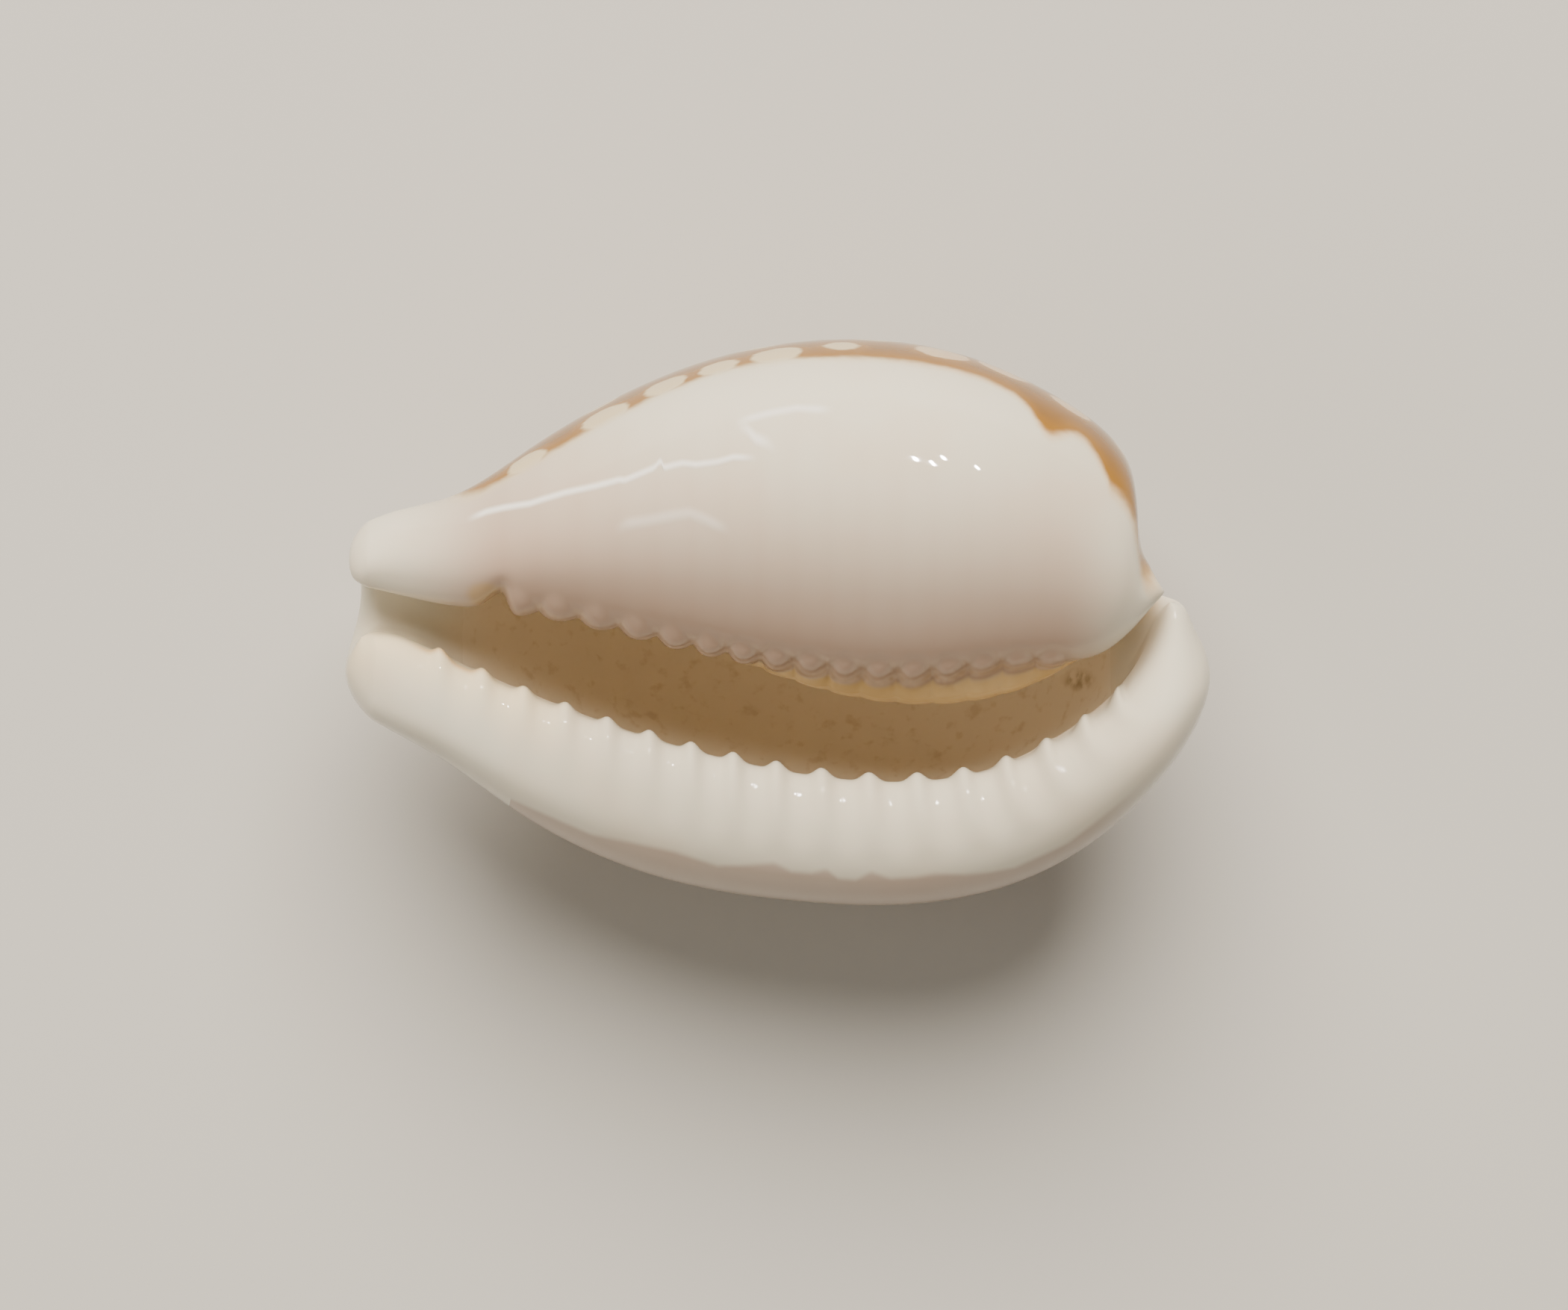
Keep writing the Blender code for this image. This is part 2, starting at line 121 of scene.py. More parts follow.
def smoothLine(places, values):
    # natural cubic spline through the values, for many places at once
    places = np.asarray(places, float)
    values = np.asarray(values, float).reshape(len(places), -1)
    gaps = np.diff(places)
    slopes = np.diff(values, axis=0) / gaps[:, None]
    system, right = np.eye(len(places)), np.zeros_like(values)
    for i in range(1, len(places) - 1):
        system[i, i - 1:i + 2] = gaps[i - 1], 2 * (gaps[i - 1] + gaps[i]), gaps[i]
        right[i] = 6 * (slopes[i] - slopes[i - 1])
    bends = np.linalg.solve(system, right)

    def at(where):
        where = np.atleast_1d(np.asarray(where, float))
        i = np.clip(np.searchsorted(places, where) - 1, 0, len(gaps) - 1)
        gap, a, b = gaps[i][:, None], (places[i + 1] - where)[:, None], (where - places[i])[:, None]
        ends = (values[i] / gap - bends[i] * gap / 6) * a + (values[i + 1] / gap - bends[i + 1] * gap / 6) * b
        return ends + (bends[i] * a ** 3 + bends[i + 1] * b ** 3) / (6 * gap)

    return at


def quarterArcs(start, end, steps, flatAtStart, upright=False):
    # for each row, a quarter ellipse from start to end, without the end point
    turn = (math.pi / 2 * np.arange(steps) / steps)[None, :, None]
    start, end = start[:, None, :], end[:, None, :]
    flat, steep = (start, end) if flatAtStart else (end, start)
    corner = np.where((True, True, False), flat, steep)
    points = corner + (start - corner) * np.cos(turn) + (end - corner) * np.sin(turn)
    if not upright:                # the arc leaves its plane gently, so that it joins the next one
        points[..., 0] = (start + (end - start) * np.sin(turn) ** 2)[..., 0]
    return points


def smoothRamp(value, zero, one):
    share = np.clip((value - zero) / (one - zero), 0, 1)
    return share * share * (3 - 2 * share)


def arcLengths(rings):
    steps = np.linalg.norm(np.diff(rings, axis=1), axis=2)
    return np.concatenate([np.zeros((len(rings), 1)), np.cumsum(steps, axis=1)], axis=1)


def labralRidges(number, last, near):
    # narrow crests with wide valleys at the lip, softer away from it, shorter at both ends
    t = teeth
    wave = (1 + np.cos(2 * np.pi * number[:, None])) / 2
    atLip, atEnd = t["labralSharpness"]
    fade = smoothRamp(np.maximum(-number, number - last), *t["labralRowEnd"])[:, None]
    atBack = smoothRamp(number, last - t["backFadingTeeth"], last)[:, None]
    atFront = smoothRamp(number, *t["frontFadingTeeth"])[:, None]
    sooner = 1 + t["backFading"] * atBack + t["frontFading"] * atFront
    tall = smoothRamp(number, last - t["tallTeeth"], last)[:, None]
    height = t["labralHeight"] * (1 + t["backBoost"] * tall)
    ridge = height * wave ** (atEnd + (atLip - atEnd) * near) * near ** (t["labralFade"] * sooner)
    return fade * (ridge - t["backCut"] * tall * near ** 2)


def columellaPads(number, last, away):
    # a row of rounded pads: highest at the lip, each with a steep front flank and a thin groove round it
    t = teeth
    beside = (2 * ((number + 0.5) % 1) ** t["columellaLean"] - 1)[:, None] ** 2
    frontLength, length = t["columellaLengths"]
    along = away / (frontLength + (length - frontLength) * smoothRamp(number, *t["lengthTeeth"])[:, None])
    reach = beside + along ** 2
    fade = smoothRamp(np.maximum(-number, number - last), *t["columellaRowEnd"])[:, None]
    lower = 1 - t["columellaBack"] * smoothRamp(number, last - t["lowBackTeeth"], last)[:, None]
    front = t["columellaFront"]
    lower = lower * (front + (1 - front) * smoothRamp(number, *t["lowFrontTeeth"])[:, None])
    pad = np.clip(1 - reach, 0, 1) ** (t["columellaRound"] + along)
    groove = np.exp(-((np.sqrt(reach) - t["grooveRing"]) / t["grooveWidth"]) ** 2)
    groove = groove * smoothRamp(away, *t["grooveFrom"]) * smoothRamp(number, *t["grooveTeeth"])[:, None]
    return fade * (lower * t["columellaHeight"] * pad - t["grooveDepth"] * groove)


def shellRows():
    form, t = shellForm, teeth
    toothPlace = smoothLine(t["labralNumbers"], t["labralPlaces"])
    lastTooth = t["labralNumbers"][-1]
    numbers = np.arange(0, lastTooth + 1e-6, 1 / form["rowsPerTooth"])
    toothed = toothPlace(numbers)[:, 0]
    front = np.linspace(form["stations"][0], toothed[0], form["frontRows"], endpoint=False)
    back = np.linspace(toothed[-1], form["stations"][-1], form["backRows"] + 1)[1:]
    places = np.concatenate([front, toothed, back])

    line = {}
    for name, points in form.items():
        if isinstance(points, tuple) and len(points) == len(form["stations"]) and name != "stations":
            line[name] = smoothLine(form["stations"], points)(places)
    crests = []
    for half in ("columella", "labral"):
        crest = line[half + "Lip"] + (line[half + "Side"] - line[half + "Lip"]) * line[half + "CrestShare"]
        crest[:, 2] = line[half + "Crest"][:, 0]
        crests.append(crest)

    outer = [
        quarterArcs(line["columellaLip"], crests[0], form["lipSteps"], False, upright=True),
        quarterArcs(crests[0], line["columellaSide"], form["sideSteps"], True, upright=True),
        quarterArcs(line["columellaSide"], line["backRidge"], form["backSteps"], False),
        quarterArcs(line["backRidge"], line["labralSide"], form["backSteps"], True),
        quarterArcs(line["labralSide"], crests[1], form["sideSteps"], False, upright=True),
        quarterArcs(crests[1], line["labralLip"], form["lipSteps"], True, upright=True),
        line["labralLip"][:, None, :],
    ]
    outer = np.concatenate(outer, axis=1)
    inner = [
        quarterArcs(line["ledge"], line["hollowColumella"], form["lipSteps"] + form["sideSteps"], True),
        quarterArcs(line["hollowColumella"], line["hollowBack"], form["backSteps"], False),
        quarterArcs(line["hollowBack"], line["hollowLabral"], form["backSteps"], True),
        quarterArcs(line["hollowLabral"], line["lipUnderside"], form["lipSteps"] + form["sideSteps"], False),
        line["lipUnderside"][:, None, :],
    ]
    inner = np.concatenate(inner, axis=1)

    for step in form["guideSteps"] * form["guideSoftening"]:      # out and back, so that nothing shrinks
        outer[:, 1:-1] += step * ((outer[:, :-2] + outer[:, 2:]) / 2 - outer[:, 1:-1])

    # the teeth and the pit, strongest at the lip and fading out over the base
    lipSteps = form["lipSteps"]
    near = 1 - np.arange(lipSteps + 1) / lipSteps
    turn = math.pi / 2 * (1 - near)
    columellaNumber = smoothLine(t["columellaPlaces"], t["columellaNumbers"])(places)[:, 0]
    labralNumber = smoothLine(t["labralPlaces"], t["labralNumbers"])(places)[:, 0]
    away = arcLengths(outer[:, :lipSteps + 1])
    ridge = columellaPads(columellaNumber, t["columellaNumbers"][-1], away)
    offset = places[:, None] - t["pitPlace"]
    pit = np.exp(-(offset / np.where(offset < 0, *t["pitHalfWidths"])) ** 2) * near
    outer[:, :lipSteps + 1, 1] += t["pitBack"] * pit - np.cos(turn) * ridge
    outer[:, :lipSteps + 1, 2] += np.sin(turn) * ridge - t["pitDepth"] * pit
    ridge = labralRidges(labralNumber, lastTooth, near)
    backward = outer[:, ::-1]          # a view of outer that starts at the labral lip
    backward[:, :lipSteps + 1, 1] += np.cos(turn) * ridge
    backward[:, :lipSteps + 1, 2] += np.sin(turn) * ridge
    return outer, inner


def closedRings(outer, inner):
    # the lip edges are joined by a few points and softened
    form = shellForm
    steps, reach = form["edgeSteps"], form["edgeReach"]
    share = (np.arange(1, steps) / steps)[None, :, None]
    labralEdge = outer[:, -1:, :] + (inner[:, -1:, :] - outer[:, -1:, :]) * share
    columellaEdge = inner[:, :1, :] + (outer[:, :1, :] - inner[:, :1, :]) * share
    rings = np.concatenate([outer, labralEdge, inner[:, ::-1], columellaEdge], axis=1)
    edges = np.zeros(rings.shape[1])
    edges[outer.shape[1] - reach:outer.shape[1] + steps + reach - 1] = 1
    edges[-steps - reach + 1:] = 1
    edges[:reach] = 1
    for _ in range(form["edgeSoftening"]):
        mean = (np.roll(rings, 1, axis=1) + 2 * rings + np.roll(rings, -1, axis=1)) / 4
        rings = rings + (mean - rings) * edges[None, :, None]
    return rings


def roundedEnds(rings, across):
    # each end of the sheet closes on its middle line, pushed out along one way
    form = shellForm

    def closing(ring, way, reach):
        half = (ring - ring[across]) / 2
        most = np.minimum(np.linalg.norm(half, axis=1), reach)[:, None]
        turns = np.radians(form["rimTurns"])[:, None, None]
        return ring - half + np.array(way) * most * np.sin(turns) + half * np.cos(turns)

    frontEnd = closing(rings[0], form["frontWay"], form["frontReach"])[::-1]
    backEnd = closing(rings[-1], form["backWay"], form["backReach"])
    rings = np.concatenate([frontEnd, rings, backEnd])
    row, count = np.arange(len(rings)), len(rings)
    frontRows, backRows = form["endRows"]
    soft = np.maximum(smoothRamp(row, frontRows, 0), smoothRamp(row, count - backRows, count))[:, None, None]
    for _ in range(form["endSoftening"]):
        beyond = np.concatenate([rings[:1, across], rings, rings[-1:, across]])
        mean = (beyond[:-2] + beyond[2:] + np.roll(rings, 1, axis=1) + np.roll(rings, -1, axis=1)) / 4
        rings = rings + form["endStep"] * soft * (mean - rings)
    return rings


def shellFaces(rowCount, ringCount, outerCount, across):
    faces = []
    for row in range(rowCount - 1):
        for k in range(ringCount):
            this, after = row * ringCount + k, row * ringCount + (k + 1) % ringCount
            faces.append((this, this + ringCount, after + ringCount, after))
    half = shellForm["edgeSteps"] // 2      # the middle points of both lip edges lie across from themselves
    for k in range(-half, outerCount + half - 1):
        corners = list(dict.fromkeys((k % ringCount, (k + 1) % ringCount, across[k + 1], across[k])))
        last = (rowCount - 1) * ringCount
        faces.append(tuple(corners))
        faces.append(tuple(last + corner for corner in reversed(corners)))
    return faces


def laidDown(points):
    # the same turn and rest as the CAD shell, then lined up with its box
    turn = Matrix.Rotation(math.radians(shellForm["restTip"]), 3, "Y") @ Matrix.Rotation(
        math.radians(shellForm["restRoll"]), 3, "X")
    points = points @ np.array(turn).T * mm
    low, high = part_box("shell")
    middle = (points.min(0) + points.max(0)) / 2
    place = np.array([(low.x + high.x) / 2 - middle[0], (low.y + high.y) / 2 - middle[1],
                      -points[:, 2].min() - shellForm["flatSpotDepth"] * mm])
    points = points + place
    points[:, 2] = np.maximum(points[:, 2], 0)
    return points, turn, place


# The amber net with pale round spots, all in mm. It starts where the white enamel of the base ends.
backPattern = {
    # (along, beyond the columella side line)
    "baseEdge": ((-10.5, -0.3), (-7.0, -0.1), (-2.3, 0.8), (1.3, 0.6), (4.7, 0.5), (7.2, 0.3),
                 (8.2, -0.5), (8.8, -1.4), (9.4, -0.9), (10.0, -0.6), (10.9, -2.0)),
    "labralEdge": 1.8, "frontEnd": -10.5, "backEnd": 12.3, "corner": 0.6,
    # the spots beside the base's edge: (along, beyond the edge, radius)
    "edgeSpots": ((-8.1, 0.6, 0.7), (-5.6, 0.6, 0.85), (-3.65, 0.6, 0.75), (-1.85, 0.9, 0.7),
                  (0.0, 0.7, 0.85), (2.15, 1.5, 0.6), (5.4, 2.0, 0.9), (7.5, 2.7, 0.9), (9.7, 2.6, 0.75)),
    # the others lie anywhere past freeFrom, and edgeGap inside the pattern
    "spotGap": 2.25, "spotRadius": (0.5, 0.95), "freeFrom": 2.6, "edgeGap": 0.3, "spotTries": 6000, "seed": 11,
    "rimRows": 20,             # rows at each end that no edge spot is set on
}


def patternFields(rings, outerCount):
    # how far each point is past the base's edge, and past the rim of the nearest pale spot
    b, form = backPattern, shellForm
    side = form["lipSteps"] + form["sideSteps"]
    arc = arcLengths(rings)[:, :outerCount]
    along = rings[:, side, 0]
    edge = smoothLine(*zip(*b["baseEdge"]))(np.clip(along, b["baseEdge"][0][0], b["baseEdge"][-1][0]))
    pastColumella = arc - arc[:, side:side + 1] - edge
    pastLabral = arc[:, -1 - side][:, None] - arc - b["labralEdge"]
    x = rings[:, :outerCount, 0]
    borders = np.stack([pastColumella, pastLabral, x - b["frontEnd"], b["backEnd"] - x])
    # the least of the four, with rounded corners
    past = -b["corner"] * np.log(np.exp(-borders / b["corner"]).sum(axis=0))
    spots, rim = [], b["rimRows"]
    for place, beyond, radius in b["edgeSpots"]:
        row = np.argmin(np.abs(along[rim:-rim] - place)) + rim
        k = np.argmin(np.abs(pastColumella[row] - beyond))
        spots.append((rings[row, k], radius))
    random = np.random.default_rng(b["seed"])
    points = rings[:, :outerCount].reshape(-1, 3)
    allowed = np.flatnonzero((past.ravel() > b["edgeGap"]) & (pastColumella.ravel() > b["freeFrom"]))
    for index in random.permutation(allowed)[:b["spotTries"]]:
        point = points[index]
        if all(np.linalg.norm(point - centre) > b["spotGap"] for centre, _ in spots):
            spots.append((point, random.uniform(*b["spotRadius"])))
    flat = rings.reshape(-1, 3)
    net = np.full(len(flat), farAway)
    for centre, radius in spots:
        net = np.minimum(net, np.linalg.norm(flat - centre, axis=1) - radius)
    past = np.concatenate([past, np.full((len(rings), rings.shape[1] - outerCount), -farAway)], axis=1)
    print("pattern:", len(spots), "pale spots")
    return past.ravel(), net


# Marks on the enamel, as the photo shows them: (along, up) in mm.
enamelMarks = {
    # fine bright lines, painted lighter than the enamel as painted reflections, each over a low ridge in the bump:
    # the points, half the width, and the strength
    "reflectionSeams": {
        "longSeam": (((-10.11, 3.19), (-9.39, 3.48), (-8.86, 3.6), (-7.94, 3.74), (-7.58, 3.86), (-6.81, 4.08),
                      (-5.77, 4.3), (-5.05, 4.49), (-4.88, 4.47), (-4.49, 4.63), (-3.91, 4.88), (-3.72, 5.12),
                      (-3.6, 4.87), (-3.31, 4.95), (-2.99, 5.02), (-2.56, 4.97), (-1.91, 5.05), (-1.35, 5.21),
                      (-0.53, 5.17)), 0.18, 1.0),
        "upperSeam": (((-1.38, 6.32), (-0.94, 6.45), (-0.14, 6.66), (0.68, 6.81), (1.96, 6.74)), 0.22, 0.9),
        "forkSeam": (((-1.38, 6.32), (-0.94, 6.13), (-0.65, 5.82), (-0.22, 5.65), (0.1, 5.36)), 0.32, 0.9),
        "faintSeam": (((-5.29, 2.8), (-4.8, 3.07), (-4.15, 3.16), (-3.11, 3.36), (-2.75, 3.4), (-2.32, 3.23),
                       (-1.83, 2.99), (-1.35, 2.8)), 0.3, 0.35),
    },
    "seamEnds": 0.7,           # how far each of them fades at its ends
    # a wavy line on the labral side, past which the enamel is painted darker as painted shade, where the side turns
    # away from the light
    "marginLine": ((-12.5, -4.3), (-9.5, -5.4), (-6.0, -6.9), (-3.28, -7.44), (-1.91, -7.92), (-1.11, -7.89),
                   (-0.05, -7.8), (0.51, -8.09), (1.16, -8.14), (1.64, -8.01), (2.03, -8.33), (2.61, -8.38),
                   (3.09, -8.09), (3.72, -8.33), (4.54, -8.28), (5.17, -8.16), (6.13, -8.21), (6.95, -8.14),
                   (7.75, -8.01), (9.5, -7.2), (11.5, -5.6), (13.0, -3.9)),
    # where the pit is painted darker, as painted shade in its hollow: its middle, and its half length and height
    "pit": (-9.44, 0.8), "pitSize": (0.62, 0.42),
    "speck": (10.05, -1.98), "speckSize": (0.5, 0.34),        # dried film in the back corner of the hollow
    "tanFront": (-12.4, -8.6), "tanBack": (11.6, 10.6),       # where the hollow's tan sets in from each end
}


def markFields(rings, outerCount):
    m, form = enamelMarks, shellForm
    side = form["lipSteps"] + form["sideSteps"]
    x, seen = rings[:, :, 0], rings[:, :, 1] * math.cos(viewTilt) - rings[:, :, 2] * math.sin(viewTilt)
    columella = np.arange(rings.shape[1]) < side + form["backSteps"] // 2
    marks = {}
    for name, (points, *_) in m["reflectionSeams"].items():
        marks[name] = np.where(columella, seen - np.interp(x, *zip(*points)), farAway)
    for name, where in (("pit", columella), ("speck", np.arange(rings.shape[1]) >= outerCount)):
        (along, up), (long, high) = m[name], m[name + "Size"]
        marks[name] = np.where(where, np.hypot((x - along) / long, (seen - up) / high), farAway)
    # how far each point is past the margin line, measured along its ring towards the back
    arc = arcLengths(rings)[:, :outerCount]
    labral = slice(outerCount - 1 - side, outerCount - form["lipSteps"] // 2)
    above = (seen - np.interp(x, *zip(*m["marginLine"])))[:, labral]
    crossing = labral.start + np.argmax(above > 0, axis=1)
    row = np.arange(len(rings))
    before, after = above[row, crossing - 1 - labral.start], above[row, crossing - labral.start]
    share = np.clip(after / np.where(after > before, after - before, 1), 0, 1)
    line = arc[row, crossing] + (arc[row, crossing - 1] - arc[row, crossing]) * share
    marks["margin"] = np.full(x.shape, -farAway)
    marks["margin"][:, :outerCount] = line[:, None] - arc
    return marks


print("growing the shell")
outer, inner = shellRows()
rings = closedRings(outer, inner)
ringCount, outerCount = rings.shape[1], outer.shape[1]
across = (2 * outerCount + shellForm["edgeSteps"] - 2 - np.arange(ringCount)) % ringCount
rings = roundedEnds(rings, across)
rowCount = len(rings)
worldPoints, restTurn, restPlace = laidDown(rings.reshape(-1, 3))
faces = shellFaces(rowCount, ringCount, outerCount, across.tolist())
mesh = bpy.data.meshes.new("cowrie_shell")
mesh.from_pydata(worldPoints.tolist(), [], faces)
mesh.update()
mesh.shade_smooth()

pastEdge, net = patternFields(rings, outerCount)
arc = arcLengths(np.concatenate([rings, rings[:, :1]], axis=1))
index = np.arange(ringCount)
columellaLipDistance = np.minimum(arc[:, :-1], arc[:, -1:] - arc[:, :-1])
labralLipDistance = np.abs(arc[:, :-1] - arc[:, outerCount - 1:outerCount])
edgePart = shellForm["edgeSteps"]
inside = np.clip((index - outerCount + 1) / edgePart, 0, 1) * np.clip((ringCount - index) / edgePart, 0, 1)
inside = np.broadcast_to(inside, (rowCount, ringCount))
alongShell = rings[:, :, 0]
deep = smoothRamp(alongShell, *enamelMarks["tanFront"]) * smoothRamp(alongShell, *enamelMarks["tanBack"])
fields = {
    "alongShell": alongShell, "pastEdge": pastEdge, "net": net,
    "columellaLip": columellaLipDistance, "labralLip": labralLipDistance,
    "inside": inside, "hollow": inside * deep,
}
fields.update(markFields(rings, outerCount))
for name, values in fields.items():
    attribute = mesh.attributes.new(name, "FLOAT", "POINT")
    attribute.data.foreach_set("value", np.ascontiguousarray(values, np.float32).ravel())

shell = bpy.data.objects.new("cowrie_shell", mesh)
bpy.context.scene.collection.objects.link(shell)
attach(shell, "root")
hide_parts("shell")
print("shell:", rowCount, "rows of", ringCount, "points,", len(faces), "faces")


def addNode(tree, kind, inputs=None, **settings):
    made = tree.nodes.new("ShaderNode" + kind)
    for name, value in settings.items():
        setattr(made, name, value)
    for socket, value in (inputs or {}).items():
        if isinstance(value, bpy.types.NodeSocket):
            tree.links.new(value, made.inputs[socket])
        else:
            made.inputs[socket].default_value = value
    return made


def linear(code):
    parts = [int(code[i:i + 2], 16) / 255 for i in (1, 3, 5)]
    return tuple(p / 12.92 if p <= 0.04045 else ((p + 0.055) / 1.055) ** 2.4 for p in parts) + (1.0,)


print("enamel")
# Glazed aragonite enamel: glassy, hard and slightly see-through, so it shines sharply over soft milky depth.
enamelLook = {
    "white": "#E9E4D3", "blush": "#E8DBC6", "toothShade": "#B99B87", "ridgeShade": "#D6CDB9", "seamReflection": "#FFFCF6",
    "frontCream": "#EFE0BC", "lipTan": "#D8A45E", "pitShade": "#C4A67C", "margin": "#B8A294", "ledge": "#DDBB83",
    "hollowTan": "#F8E9CF", "mottle": "#B99A6C", "speck": "#8C7238",
    "spot": "#DFCEA6", "spotBlush": "#DDBB92", "amber": "#966604", "amberDeep": "#7A5002",
    "ior": 1.6, "specular": 0.25, "roughness": 0.03, "hollowRoughness": 0.45, "roughnessSway": 0.02,
    # the depth that light goes in, in mm, and how far red, green and blue go of it
    "scatter": 0.06, "scatterDepth": 0.4, "scatterReach": (1.0, 0.7, 0.45),
    "netSway": 0.3, "edgeSway": 0.35,                  # how far the two pattern edges waver, in mm
    "swellHeight": 0.001, "grainHeight": 0.00015, "seamHeight": 0.035,      # in mm
    # pattern sizes in mm; the real grain is under 0.01 mm, so it is drawn coarser, to break up the shine
    "blushPatch": 4.0, "edgeWaver": 0.7, "undulation": 1.6, "grain": 0.12, "mottlePatch": 0.5,
}


def enamelMaterial():
    look = enamelLook
    material = bpy.data.materials.new("glazed_aragonite_enamel")
    material.use_nodes = True
    tree = material.node_tree
    shader = tree.nodes["Principled BSDF"]
    place = addNode(tree, "TexCoord").outputs["Object"]
    field = {name: addNode(tree, "Attribute", attribute_name=name).outputs["Fac"] for name in fields}

    noise = {}
    for name, size, detail in (("blush", look["blushPatch"], 3.0), ("waver", look["edgeWaver"], 2.0),
                               ("undulation", look["undulation"], 1.0), ("grain", look["grain"], 2.0),
                               ("mottle", look["mottlePatch"], 4.0)):
        texture = {"Vector": place, "Scale": 1 / (size * mm), "Detail": detail}
        noise[name] = addNode(tree, "TexNoise", texture).outputs["Fac"]

    # the two pattern edges waver a little
    waver = addNode(tree, "Math", {0: noise["waver"], 1: 0.5}, operation="SUBTRACT").outputs[0]
    for name, sway in (("net", look["netSway"]), ("pastEdge", look["edgeSway"])):
        field[name] = addNode(tree, "Math", {0: waver, 1: sway, 2: field[name]}, operation="MULTIPLY_ADD").outputs[0]

    # each colour lies over those before it; its share is a product of ramps: (field, zero at, full at, full value)
    # fields are in mm, except inside, hollow and the noises, from 0 to 1, and pit and speck, 1 at their edge
    shares = {
        "blush": (("blushNoise", 0.42, 0.7, 0.55),),
        # painted shade: the columella half of the base darker and pinker towards the teeth, where it turns away from
        # the light
        "toothShade": (("columellaLip", 11.5, 0.2, 0.95), ("alongShell", -13.2, -8.5, 1.0),
                      ("alongShell", 12.0, 9.0, 1.0), ("inside", 1.0, 0.0, 1.0)),
        "ridgeShade": (("labralLip", 7.0, 1.0, 0.45), ("alongShell", -10.0, -5.0, 1.0),
                       ("alongShell", 13.0, 11.0, 1.0)),
        "frontCream": (("labralLip", 2.4, 0.2, 0.8), ("alongShell", -5.5, -8.5, 1.0)),
        "lipTan": (("labralLip", 0.4, 0.0, 0.5), ("alongShell", -12.2, -11.2, 1.0),
                   ("alongShell", -8.6, -10.2, 1.0)),
        # painted shade in the small pit in front of the first columella tooth
        "pitShade": (("pit", 1.25, 0.55, 0.8),),
        # painted shade: the labral side darker past the wavy margin line, where it turns away from the light
        "margin": (("margin", 0.0, 0.35, 0.75), ("margin", 5.0, 2.5, 1.0), ("alongShell", 13.0, 9.5, 1.0),
                   ("alongShell", -12.5, -8.5, 1.0)),
        "hollowTan": (("hollow", 0.0, 1.0, 1.0),),
        "mottle": (("hollow", 0.3, 1.0, 0.3), ("mottleNoise", 0.54, 0.74, 1.0)),
        "speck": (("speck", 1.4, 0.3, 0.6), ("mottleNoise", 0.36, 0.6, 1.0)),
        "ledge": (("columellaLip", 3.2, 1.8, 1.0), ("inside", 0.0, 0.3, 1.0), ("alongShell", -2.5, 0.0, 1.0)),
        "spot": (("pastEdge", -0.5, 0.4, 1.0),),
        "spotBlush": (("pastEdge", -0.5, 0.4, 0.8), ("alongShell", 3.0, 6.0, 1.0)),
        "amber": (("net", -0.09, 0.12, 1.0), ("pastEdge", -0.15, 0.4, 1.0)),
        "amberDeep": (("net", 0.1, 0.6, 0.6), ("pastEdge", 0.3, 1.2, 1.0)),
    }
    field["blushNoise"], field["mottleNoise"] = noise["blush"], noise["mottle"]
    reflectionSeams, fading = enamelMarks["reflectionSeams"], enamelMarks["seamEnds"]
    for name, (points, width, strength) in reflectionSeams.items():
        start, end = points[0][0], points[-1][0]
        field[name] = addNode(tree, "Math", {0: field[name]}, operation="ABSOLUTE").outputs[0]
        # the bright lines are painted reflections, lighter than the enamel, each over a low ridge in the bump
        shares[name] = ((name, width, 0.0, strength), ("alongShell", start, start + fading, 1.0),
                        ("alongShell", end, end - fading, 1.0))
    colour, ridges = linear(look["white"]), 0.0
    for name, ramps in shares.items():
        share = 1.0
        for source, zero, one, most in ramps:
            limits = {"Value": field[source], "From Min": zero, "From Max": one, "To Max": most}
            ramp = addNode(tree, "MapRange", limits, interpolation_type="SMOOTHSTEP").outputs[0]
            share = addNode(tree, "Math", {0: ramp, 1: share}, operation="MULTIPLY").outputs[0]
        tint = linear(look["seamReflection" if name in reflectionSeams else name])
        colour = addNode(tree, "Mix", {0: share, 6: colour, 7: tint}, data_type="RGBA").outputs[2]
        if name in reflectionSeams:
            ridges = addNode(tree, "Math", {0: ridges, 1: share}, operation="ADD").outputs[0]
    tree.links.new(colour, shader.inputs["Base Color"])

    rough = addNode(tree, "MapRange", {"Value": field["hollow"], "To Min": look["roughness"],
                                       "To Max": look["hollowRoughness"]}).outputs[0]
    rough = addNode(tree, "Math", {0: waver, 1: look["roughnessSway"], 2: rough}, operation="MULTIPLY_ADD").outputs[0]
    tree.links.new(rough, shader.inputs["Roughness"])
    bumps, below = ((noise["undulation"], "swellHeight"), (noise["grain"], "grainHeight"), (ridges, "seamHeight")), {}
    for height, size in bumps:
        bump = addNode(tree, "Bump", {"Height": height, "Strength": 1.0, "Distance": look[size] * mm, **below})
        below = {"Normal": bump.outputs[0]}
    tree.links.new(below["Normal"], shader.inputs["Normal"])
    shader.inputs["IOR"].default_value = look["ior"]
    shader.inputs["Specular IOR Level"].default_value = look["specular"]
    shader.inputs["Subsurface Weight"].default_value = look["scatter"]
    shader.inputs["Subsurface Scale"].default_value = look["scatterDepth"] * mm
    shader.inputs["Subsurface Radius"].default_value = look["scatterReach"]
    return material


mesh.materials.append(enamelMaterial())

print("camera, floor and light")
# the picture's size and the shell's middle in it in pixels, the camera in mm, and how far it sees in metres
photo = {"width": 2100, "height": 1754, "mmPerPixel": 28.0 / 1160, "middle": (1039, 829),
         "distance": 300.0, "sensor": 36.0, "clip": (0.01, 10.0)}
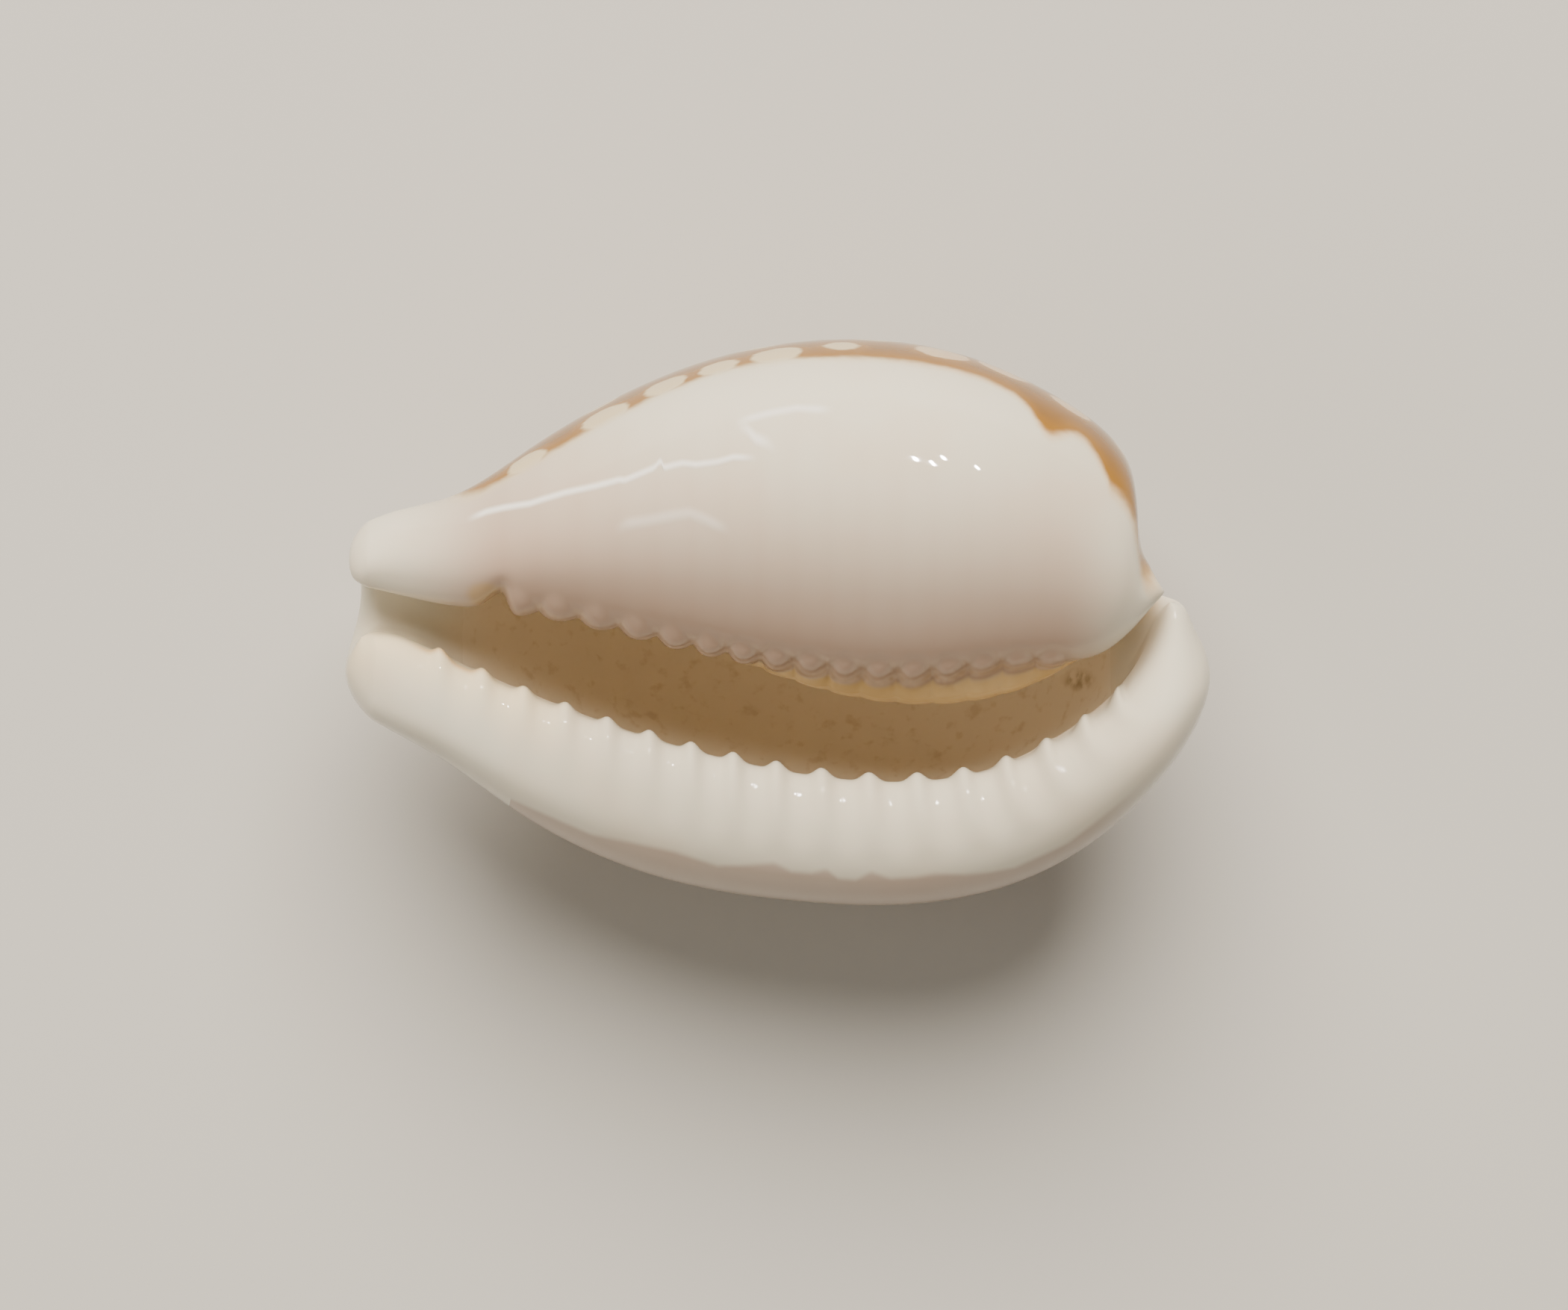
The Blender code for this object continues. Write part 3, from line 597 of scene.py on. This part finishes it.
# the photo's own directions in the shell frame, and the point in the middle of the picture
right = Vector((1, 0, 0))
up = Vector((0, math.cos(viewTilt), -math.sin(viewTilt)))
towards = Vector((0, math.sin(viewTilt), math.cos(viewTilt)))
aim = right * (photo["width"] / 2 - photo["middle"][0]) * photo["mmPerPixel"] + up * (
    photo["middle"][1] - photo["height"] / 2) * photo["mmPerPixel"]
pictureTurn = restTurn @ Matrix((right, up, towards)).transposed()

lens = bpy.data.cameras.new("camera")
lens.sensor_width = photo["sensor"]
lens.lens = photo["sensor"] * photo["distance"] / (photo["width"] * photo["mmPerPixel"])
lens.clip_start, lens.clip_end = photo["clip"]
camera = bpy.data.objects.new("camera", lens)
bpy.context.scene.collection.objects.link(camera)
cameraPlace = restTurn @ (aim + towards * photo["distance"]) * mm + Vector(restPlace)
camera.matrix_world = Matrix.Translation(cameraPlace) @ pictureTurn.to_4x4()
bpy.context.scene.camera = camera

studio = {
    "floorHalf": 1.5, "floorColour": "#D3D2CE", "floorRoughness": 0.9,
    # direction in the picture (right, up, towards the camera), distance and size in metres, watts, tint
    "softBox": ((-0.02, 0.66, 0.85), 0.6, 0.5, 9.0, "#FFF3E2"),
    "fill": ((-0.8, -0.25, 0.85), 0.7, 0.6, 1.0, "#FFF3E2"),
    # direction, width and height in metres: the shell is nearly straight lengthwise and draws each of them wide
    "bulbs": (((0.171, 0.613, 0.772), 0.0026, 0.018), ((0.207, 0.581, 0.787), 0.0028, 0.018),
              ((0.242, 0.645, 0.725), 0.0036, 0.017), ((0.367, 0.59, 0.719), 0.0055, 0.015)),
    "bulbDistance": 0.3, "bulbPower": 0.16, "bulbColour": "#FFFAF2",
    "world": "#EAE3D8", "worldStrength": 0.22,
}
floorMesh = bpy.data.meshes.new("floor")
half = studio["floorHalf"]
floorMesh.from_pydata([(-half, -half, 0), (half, -half, 0), (half, half, 0), (-half, half, 0)], [], [(0, 1, 2, 3)])
floor = bpy.data.objects.new("floor", floorMesh)
bpy.context.scene.collection.objects.link(floor)
# Uncoated paper: pale and matt, so it takes soft shadows and shows no shine.
paper = bpy.data.materials.new("pale_matt_paper")
paper.use_nodes = True
paperShader = paper.node_tree.nodes["Principled BSDF"]
paperShader.inputs["Base Color"].default_value = linear(studio["floorColour"])
paperShader.inputs["Roughness"].default_value = studio["floorRoughness"]
floorMesh.materials.append(paper)

for name in ("softBox", "fill"):
    direction, distance, size, power, tint = studio[name]
    light = bpy.data.lights.new(name, "AREA")
    light.shape, light.size, light.energy, light.color = "DISK", size, power, linear(tint)[:3]
    lamp = bpy.data.objects.new(name, light)
    bpy.context.scene.collection.objects.link(lamp)
    away = pictureTurn @ Vector(direction).normalized()
    lamp.location = away * distance
    lamp.rotation_euler = away.to_track_quat("Z", "Y").to_euler()
    lamp.visible_glossy = False      # wide enough that the glaze shows no edge of it
for direction, width, height in studio["bulbs"]:
    light = bpy.data.lights.new("bulb", "AREA")
    light.shape, light.energy, light.color = "ELLIPSE", studio["bulbPower"], linear(studio["bulbColour"])[:3]
    light.size, light.size_y = width, height
    bulb = bpy.data.objects.new("bulb", light)
    bpy.context.scene.collection.objects.link(bulb)
    away = pictureTurn @ Vector(direction).normalized()
    side = (pictureTurn @ Vector((0, 1, 0))).cross(away).normalized()
    facing = Matrix((side, away.cross(side), away)).transposed()
    bulb.matrix_world = Matrix.Translation(away * studio["bulbDistance"]) @ facing.to_4x4()
    bulb.visible_diffuse = False     # they only glint in the glaze, and throw no hard shadow
world = bpy.data.worlds.new("studio")
world.use_nodes = True
world.node_tree.nodes["Background"].inputs["Color"].default_value = linear(studio["world"])
world.node_tree.nodes["Background"].inputs["Strength"].default_value = studio["worldStrength"]
bpy.context.scene.world = world
